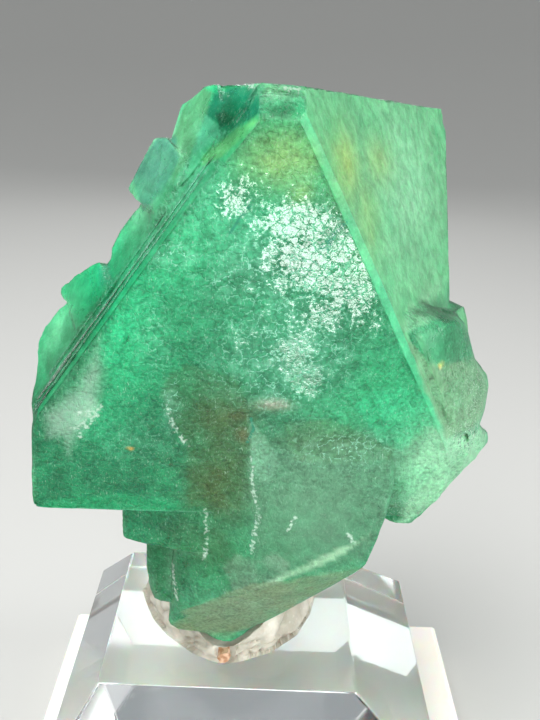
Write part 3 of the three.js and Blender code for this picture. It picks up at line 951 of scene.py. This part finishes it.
# the putty
mineralPutty = {
    "edgeMm": 0.5,
    "rounding": 14,  # smoothing rounds
    "creases": 0.9,  # depths in mm
    "creaseMm": 5.5,
    "dents": 0.33,
    "dentMm": 3.6,
    "body": "#dad6c9",
    # a greyer colour for smudges, and for the painted shade in the creases
    "shade": "#aaa596",
    "dust": "#e8e5da",
    "creaseShade": 0.8,
    "smearMm": 4.0,
    "dustMm": 0.6,
    "roughness": 0.62,
    "glow": 0.15,
    "glowMm": 2.0,
    "reliefMm": 0.2,
}


def puttySurface(shape):
    # The solid rounded by smoothing, then moved inwards by creases x (1 - |noise|)^7 + dents x noise,
    # but not where it sits on the block.
    points, faces = mergedArrays("putty")
    low = points[:, 2].min()
    points, faces = refined(points, faces, lambda middles: np.full(len(middles), shape["edgeMm"]))
    edges, _ = edgeList(faces)
    soft = smoothed(points, edges, shape["rounding"])
    grounded = points[:, 2] < low + 0.05
    soft[grounded] = points[grounded]
    normals = vertexNormals(soft, faces)
    crease = (1 - np.abs(layered(soft * [1, 1, 1.6], shape["creaseMm"], 71))) ** 7
    dents = 0.5 + 0.5 * layered(soft, shape["dentMm"], 81)
    depth = shape["creases"] * crease + shape["dents"] * dents
    depth[grounded] = 0
    return soft - normals * depth[:, None], faces, {"crease": crease}


def kneadedPutty(looks):
    # Mineral tack, kneaded by hand: matte off-white, greyer where dust and fingers have been, and
    # darker in its creases by painted shade.
    material, tree, place = newMaterial("kneaded_mineral_putty")
    body, shade, pale = [linearColour(looks[name]) for name in ("body", "shade", "dust")]
    smear = {"Vector": place, "Scale": 1 / looks["smearMm"], "Detail": 4.0}
    smear = addNode(tree, "TexNoise", {}, smear, "Fac")
    dust = {"Vector": place, "Scale": 1 / looks["dustMm"], "Detail": 4.0}
    dust = addNode(tree, "TexNoise", {}, dust, "Fac")
    smeared = addNode(tree, "MapRange", smooth, [smear, 0.35, 0.68])
    colour = addNode(tree, "Mix", colours, {0: smeared, 6: shade, 7: body}, 2)
    dusted = addNode(tree, "MapRange", smooth, [dust, 0.55, 0.8, 0.0, 0.6])
    colour = addNode(tree, "Mix", colours, {0: dusted, 6: colour, 7: pale}, 2)
    # painted shade in the creases
    crease = addNode(tree, "Attribute", {"attribute_name": "crease"}, {}, "Fac")
    crease = addNode(tree, "Math", times, [crease, looks["creaseShade"]])
    colour = addNode(tree, "Mix", colours, {0: crease, 6: colour, 7: shade}, 2)
    relief = {"Strength": 0.35, "Distance": looks["reliefMm"] * mm, "Height": dust}
    skin = {
        "Base Color": colour,
        "Roughness": looks["roughness"],
        "Subsurface Weight": looks["glow"],
        "Subsurface Scale": looks["glowMm"] * mm,
        "Normal": addNode(tree, "Bump", {}, relief),
    }
    addNode(tree, "OutputMaterial", {}, {"Surface": addNode(tree, "BsdfPrincipled", {}, skin)})
    return material


points, faces, extras = puttySurface(mineralPutty)
putty = makePiece("kneaded_putty", points, faces, kneadedPutty(mineralPutty), 60, extras)
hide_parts("putty")


# the rust chip
rustChip = {
    "edgeMm": 0.2,
    "pits": 0.12,  # depth in mm
    "pitMm": 0.7,
    "body": "#cba78b",
    "dark": "#a67857",
    "stainMm": 0.7,
    "roughness": 0.5,
    "reliefMm": 0.2,
}


def brokenStone(looks):
    # Iron-stained stone, broken: rust brown with dark pits and a dull sheen.
    material, tree, place = newMaterial("broken_rust_stone")
    stain = {"Vector": place, "Scale": 1 / looks["stainMm"], "Detail": 4.0}
    stain = addNode(tree, "TexNoise", {}, stain, "Fac")
    stained = addNode(tree, "MapRange", smooth, [stain, 0.4, 0.62])
    ends = {0: stained, 6: linearColour(looks["dark"]), 7: linearColour(looks["body"])}
    relief = {"Strength": 0.6, "Distance": looks["reliefMm"] * mm, "Height": stain}
    skin = {
        "Base Color": addNode(tree, "Mix", colours, ends, 2),
        "Roughness": looks["roughness"],
        "Normal": addNode(tree, "Bump", {}, relief),
    }
    addNode(tree, "OutputMaterial", {}, {"Surface": addNode(tree, "BsdfPrincipled", {}, skin)})
    return material


def chipSurface(shape):  # the solid moved inwards by pits x (1 + noise)
    points, faces = mergedArrays("rust_chip")
    points, faces = refined(points, faces, lambda middles: np.full(len(middles), shape["edgeMm"]))
    normals = vertexNormals(points, faces)
    depth = shape["pits"] * (1 + layered(points, shape["pitMm"], 91))
    return points - normals * depth[:, None], faces


points, faces = chipSurface(rustChip)
chip = makePiece("stone_chip", points, faces, brokenStone(rustChip), 40)
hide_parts("rust_chip")


# the acrylic block and plate
clearBlock = {
    "body": "#f4f8f8",
    "roughness": (0.03, 0.12),  # clean, and where it was wiped
    "smearMm": 9.0,
    "ior": 1.49,
    "absorb": "#dfe9ea",
    "absorbPerMetre": 2.0,
    "edgeRoundMm": 0.3,
    "airGapMm": 0.03,  # dry contact, so that light is turned back at the block's underside
}

whitePlate = {
    "body": "#f6f4ea",
    "roughness": (0.12, 0.25),
    "smearMm": 7.0,
    "ior": 1.49,
    "glow": 0.8,
    "glowMm": 4.0,
    "edgeRoundMm": 0.3,
    "airGapMm": 0.0,
}


def polishedSkin(tree, place, looks):  # the colour, wipe marks and IOR that both acrylics have
    smear = {"Vector": place, "Scale": 1 / looks["smearMm"], "Detail": 5.0}
    smear = addNode(tree, "TexNoise", {}, smear, "Fac")
    return {
        "Base Color": linearColour(looks["body"]),
        "Roughness": addNode(tree, "MapRange", smooth, [smear, 0.4, 0.75, *looks["roughness"]]),
        "IOR": looks["ior"],
    }


def clearAcrylic(looks):
    # Cast acrylic, sawn and flame polished: clear, with faint wipe marks and a cool depth.
    material, tree, place = newMaterial("polished_clear_acrylic")
    skin = {**polishedSkin(tree, place, looks), "Transmission Weight": 1.0}
    skin = addNode(tree, "BsdfPrincipled", {}, skin)
    depth = {"Color": linearColour(looks["absorb"]), "Density": looks["absorbPerMetre"]}
    depth = addNode(tree, "VolumeAbsorption", {}, depth)
    addNode(tree, "OutputMaterial", {}, {"Surface": skin, "Volume": depth})
    return material


def opalAcrylic(looks):
    # Milky cast acrylic: white with a little light in its depth, and a polished skin.
    material, tree, place = newMaterial("polished_opal_acrylic")
    milk = {"Subsurface Weight": looks["glow"], "Subsurface Scale": looks["glowMm"] * mm}
    skin = addNode(tree, "BsdfPrincipled", {}, {**polishedSkin(tree, place, looks), **milk})
    addNode(tree, "OutputMaterial", {}, {"Surface": skin})
    return material


def slabSurface(nodeName, shape):  # the solid's own corners, its underside raised by the air gap
    points, faces = mergedArrays(nodeName)
    points[points[:, 2] < points[:, 2].min() + 0.01, 2] += shape["airGapMm"]
    return points, faces


stand = {
    "acrylic_block": ("clear_block", clearBlock, clearAcrylic, "clear_acrylic"),
    "acrylic_plate": ("white_plate", whitePlate, opalAcrylic, "white_acrylic"),
}
for nodeName, (pieceName, values, finish, slotName) in stand.items():
    points, faces = slabSurface(nodeName, values)
    slab = makePiece(pieceName, points, faces, finish(values), 30)
    rounding = slab.modifiers.new("polished edges", "BEVEL")
    rounding.width = values["edgeRoundMm"] * mm
    rounding.segments = 2
    rounding.limit_method = "ANGLE"
    rounding.angle_limit = np.radians(20)
    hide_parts(nodeName)


# floor and light
studio = {
    "floor": "#b8b8b5",
    "floorRoughness": 0.8,
    "floorDropMm": 0.05,  # just clear of the plate
    "floorRadiusMm": 500.0,
    "sweepRadiusMm": 600.0,
    "world": "#e8ecef",
    "worldStrength": 0.45,
    "lights": [  # name, place, aim and size in mm, and watts
        ("top light", (-160, -200, 480), (0, 0, 70), (300, 300), 2.5),
        ("front light", (-80, -430, 200), (0, 0, 60), (260, 260), 1.3),
        ("right light", (420, -120, 180), (0, 0, 70), (240, 240), 1.6),
        ("back light", (-60, 230, 430), (0, 0, 70), (300, 200), 0.9),
        ("low back light", (0, 500, 190), (0, 0, 25), (500, 110), 0.22),
        ("low card", (28, -106, 5), (5, -22, 82), (60, 66), 0.075),
    ],
}


def addFloor(looks):
    # A round floor whose rim curves up into a wall: r = floor + sweep sin(a) and
    # z = sweep (1 - cos a) for a from 0 to 90 degrees, turned about Z.
    material, tree, _ = newMaterial("pale_paper")
    paper = {"Base Color": linearColour(looks["floor"]), "Roughness": looks["floorRoughness"]}
    addNode(tree, "OutputMaterial", {}, {"Surface": addNode(tree, "BsdfPrincipled", {}, paper)})
    rise = np.linspace(0, np.pi / 2, 25)
    distance = np.append(0.0, looks["floorRadiusMm"] + looks["sweepRadiusMm"] * np.sin(rise))
    height = np.append(0.0, looks["sweepRadiusMm"] * (1 - np.cos(rise))) - looks["floorDropMm"]
    around = np.linspace(0, 2 * np.pi, 96, endpoint=False)
    x, y = distance[:, None] * np.cos(around), distance[:, None] * np.sin(around)
    rings = np.stack([x, y, height[:, None] + 0 * around], axis=2)
    here = np.arange(len(distance) * len(around)).reshape(len(distance), len(around))
    beside = np.roll(here, -1, axis=1)
    quads = np.stack([here[:-1], here[1:], beside[1:], beside[:-1]], axis=2).reshape(-1, 4)
    mesh = bpy.data.meshes.new("floor")
    mesh.from_pydata((rings.reshape(-1, 3) * mm).tolist(), [], quads.tolist())
    mesh.materials.append(material)
    mesh.shade_smooth()
    floor = bpy.data.objects.new("floor", mesh)
    bpy.context.scene.collection.objects.link(floor)


def addLight(name, placeMm, aimMm, sizeMm, watts):  # a rectangle of light that faces its aim
    light = bpy.data.lights.new(name, "AREA")
    light.shape = "RECTANGLE"
    light.size = sizeMm[0] * mm
    light.size_y = sizeMm[1] * mm
    light.energy = watts
    lamp = bpy.data.objects.new(name, light)
    bpy.context.scene.collection.objects.link(lamp)
    lamp.location = Vector(placeMm) * mm
    lamp.rotation_euler = (Vector(aimMm) - Vector(placeMm)).to_track_quat("-Z", "Y").to_euler()
    lamp.visible_camera = False


world = bpy.data.worlds.new("studio")
world.use_nodes = True
background = world.node_tree.nodes["Background"]
background.inputs["Color"].default_value = linearColour(studio["world"])
background.inputs["Strength"].default_value = studio["worldStrength"]
bpy.context.scene.world = world
bpy.context.scene.view_settings.view_transform = "Standard"
addFloor(studio)
for lightValues in studio["lights"]:
    addLight(*lightValues)
print("studio ready")
